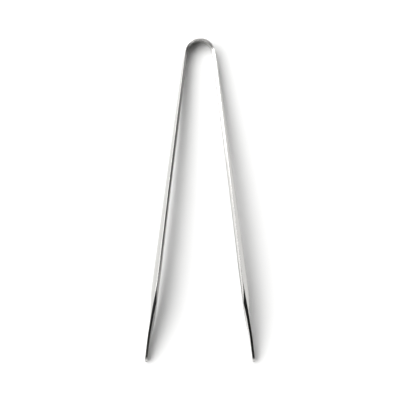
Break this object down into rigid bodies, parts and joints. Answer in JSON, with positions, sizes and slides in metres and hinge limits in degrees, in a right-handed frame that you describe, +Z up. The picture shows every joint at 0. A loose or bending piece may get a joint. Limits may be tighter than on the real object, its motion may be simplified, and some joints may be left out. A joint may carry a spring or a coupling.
{
  "type": "stamp tongs",
  "caption": "Springy one-strip tongs in polished steel: a narrow bow, two troughed legs that lean apart, and narrow points with flat pads for lifting stamps.",
  "frame": {"origin": "on the resting plane, under the middle of the tongs as they lie on the lower edge of the bow and the points", "axes": "+X across the opening towards the right leg, +Y along the tongs from the points to the bow, +Z up across the width of the strip"},
  "size_m": [0.0412, 0.12, 0.0107],
  "materials": {
    "polished_strip": "polished"
  },
  "bodies": {
    "bow": {"spring_bow": "polished_strip"},
    "left_leg": {"left_shank": "polished_strip", "left_point": "polished_strip"},
    "right_leg": {"right_shank": "polished_strip", "right_point": "polished_strip"}
  },
  "joints": [
    {"name": "left_flex", "type": "hinge", "parent": "bow", "child": "left_leg", "pos_m": [-0.00681, 0.04336, 0.00357], "axis": [0, 0, 1], "range_deg": [0, 10.75], "stiffness_Nm_per_rad": 1},
    {"name": "right_flex", "type": "hinge", "parent": "bow", "child": "right_leg", "pos_m": [0.00681, 0.04336, 0.00357], "axis": [0, 0, -1], "range_deg": [0, 10.75], "stiffness_Nm_per_rad": 1}
  ]
}
